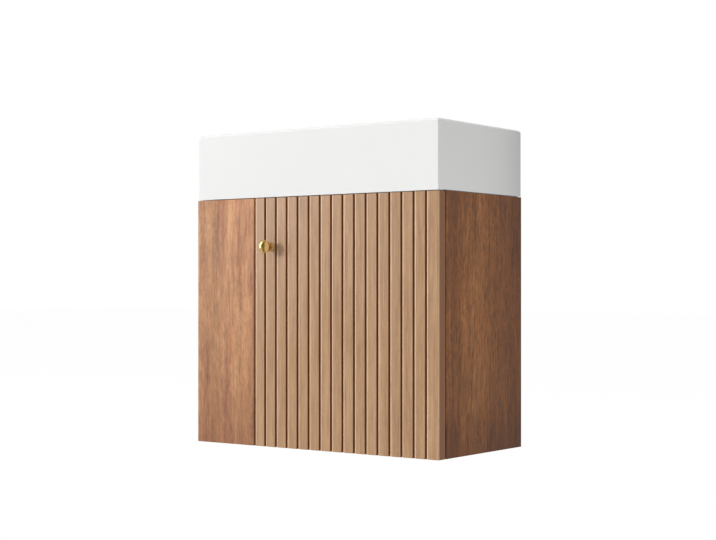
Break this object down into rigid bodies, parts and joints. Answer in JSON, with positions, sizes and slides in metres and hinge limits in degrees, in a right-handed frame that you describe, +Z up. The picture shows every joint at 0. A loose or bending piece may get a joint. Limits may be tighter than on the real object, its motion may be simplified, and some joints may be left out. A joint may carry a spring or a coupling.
{
  "type": "wall-hung vanity unit",
  "caption": "Wall-hung cloakroom vanity unit: block basin with side tap ledge on a wood cabinet with a fixed front panel, a fluted hinged door, a ball knob, click waste and trap.",
  "frame": {"origin": "midway between the two wall-bolt holes, on the wall plane at the back of the hanging rail", "axes": "+X to the right seen from the front, +Y into the wall (the front faces -Y), +Z up"},
  "size_m": [0.45, 0.247, 0.478],
  "materials": {
    "cherry_decor": "satin",
    "fluted_oak": "satin",
    "dowel_beech": "matte",
    "zinc_fittings": "satin",
    "pressed_steel": "satin",
    "polished_brass": "polished",
    "turned_brass": "satin",
    "white_glaze": "gloss",
    "chrome_plate": "polished",
    "clear_silicone": "satin",
    "black_rubber": "matte",
    "white_plastic": "satin"
  },
  "bodies": {
    "cabinet": {"left_side_panel": "cherry_decor", "right_side_panel": "cherry_decor", "bottom_panel": "cherry_decor", "front_rail": "cherry_decor", "hanging_rail": "cherry_decor", "lower_back_rail": "cherry_decor", "fixed_front_panel": "cherry_decor", "wood_dowels": "dowel_beech", "cam_locks": "zinc_fittings", "cam_bolts": "zinc_fittings", "hanger_plates": "pressed_steel", "hanger_plate_screws": "zinc_fittings", "panel_brackets": "pressed_steel", "panel_bracket_screws": "zinc_fittings", "upper_hinge_plate": "pressed_steel", "lower_hinge_plate": "pressed_steel", "hinge_plate_screws": "zinc_fittings", "upper_hinge_arm": "pressed_steel", "lower_hinge_arm": "pressed_steel", "hinge_arm_screws": "zinc_fittings", "basin": "white_glaze", "basin_seal": "clear_silicone", "overflow_ring": "chrome_plate", "waste_body": "chrome_plate", "waste_flange_gasket": "black_rubber", "waste_under_washer": "black_rubber", "waste_back_nut": "turned_brass", "plug_cartridge": "zinc_fittings", "trap_union_nut": "white_plastic", "trap_union_washer": "black_rubber", "trap_inlet_tube": "white_plastic", "trap_body": "white_plastic", "trap_body_nut": "white_plastic", "trap_cup": "white_plastic", "trap_cup_seal": "black_rubber", "trap_outlet_nut": "white_plastic", "trap_outlet_pipe": "white_plastic"},
    "door": {"door_panel": "fluted_oak", "door_bumpers": "clear_silicone", "knob": "polished_brass", "knob_ring": "polished_brass", "knob_screw": "zinc_fittings", "upper_hinge_cup": "pressed_steel", "lower_hinge_cup": "pressed_steel", "hinge_pins": "zinc_fittings", "hinge_springs": "pressed_steel", "hinge_cup_screws": "zinc_fittings"},
    "waste_plug": {"plug_stem": "zinc_fittings", "plug_dome": "chrome_plate"}
  },
  "joints": [
    {"name": "door_hinge", "type": "hinge", "parent": "cabinet", "child": "door", "pos_m": [0.2177, -0.2198, -0.1435], "axis": [0, 0, 1], "range_deg": [0, 95]},
    {"name": "plug_click", "type": "slide", "parent": "cabinet", "child": "waste_plug", "axis": [0, 0, 1], "range_m": [0, 0.008]}
  ]
}
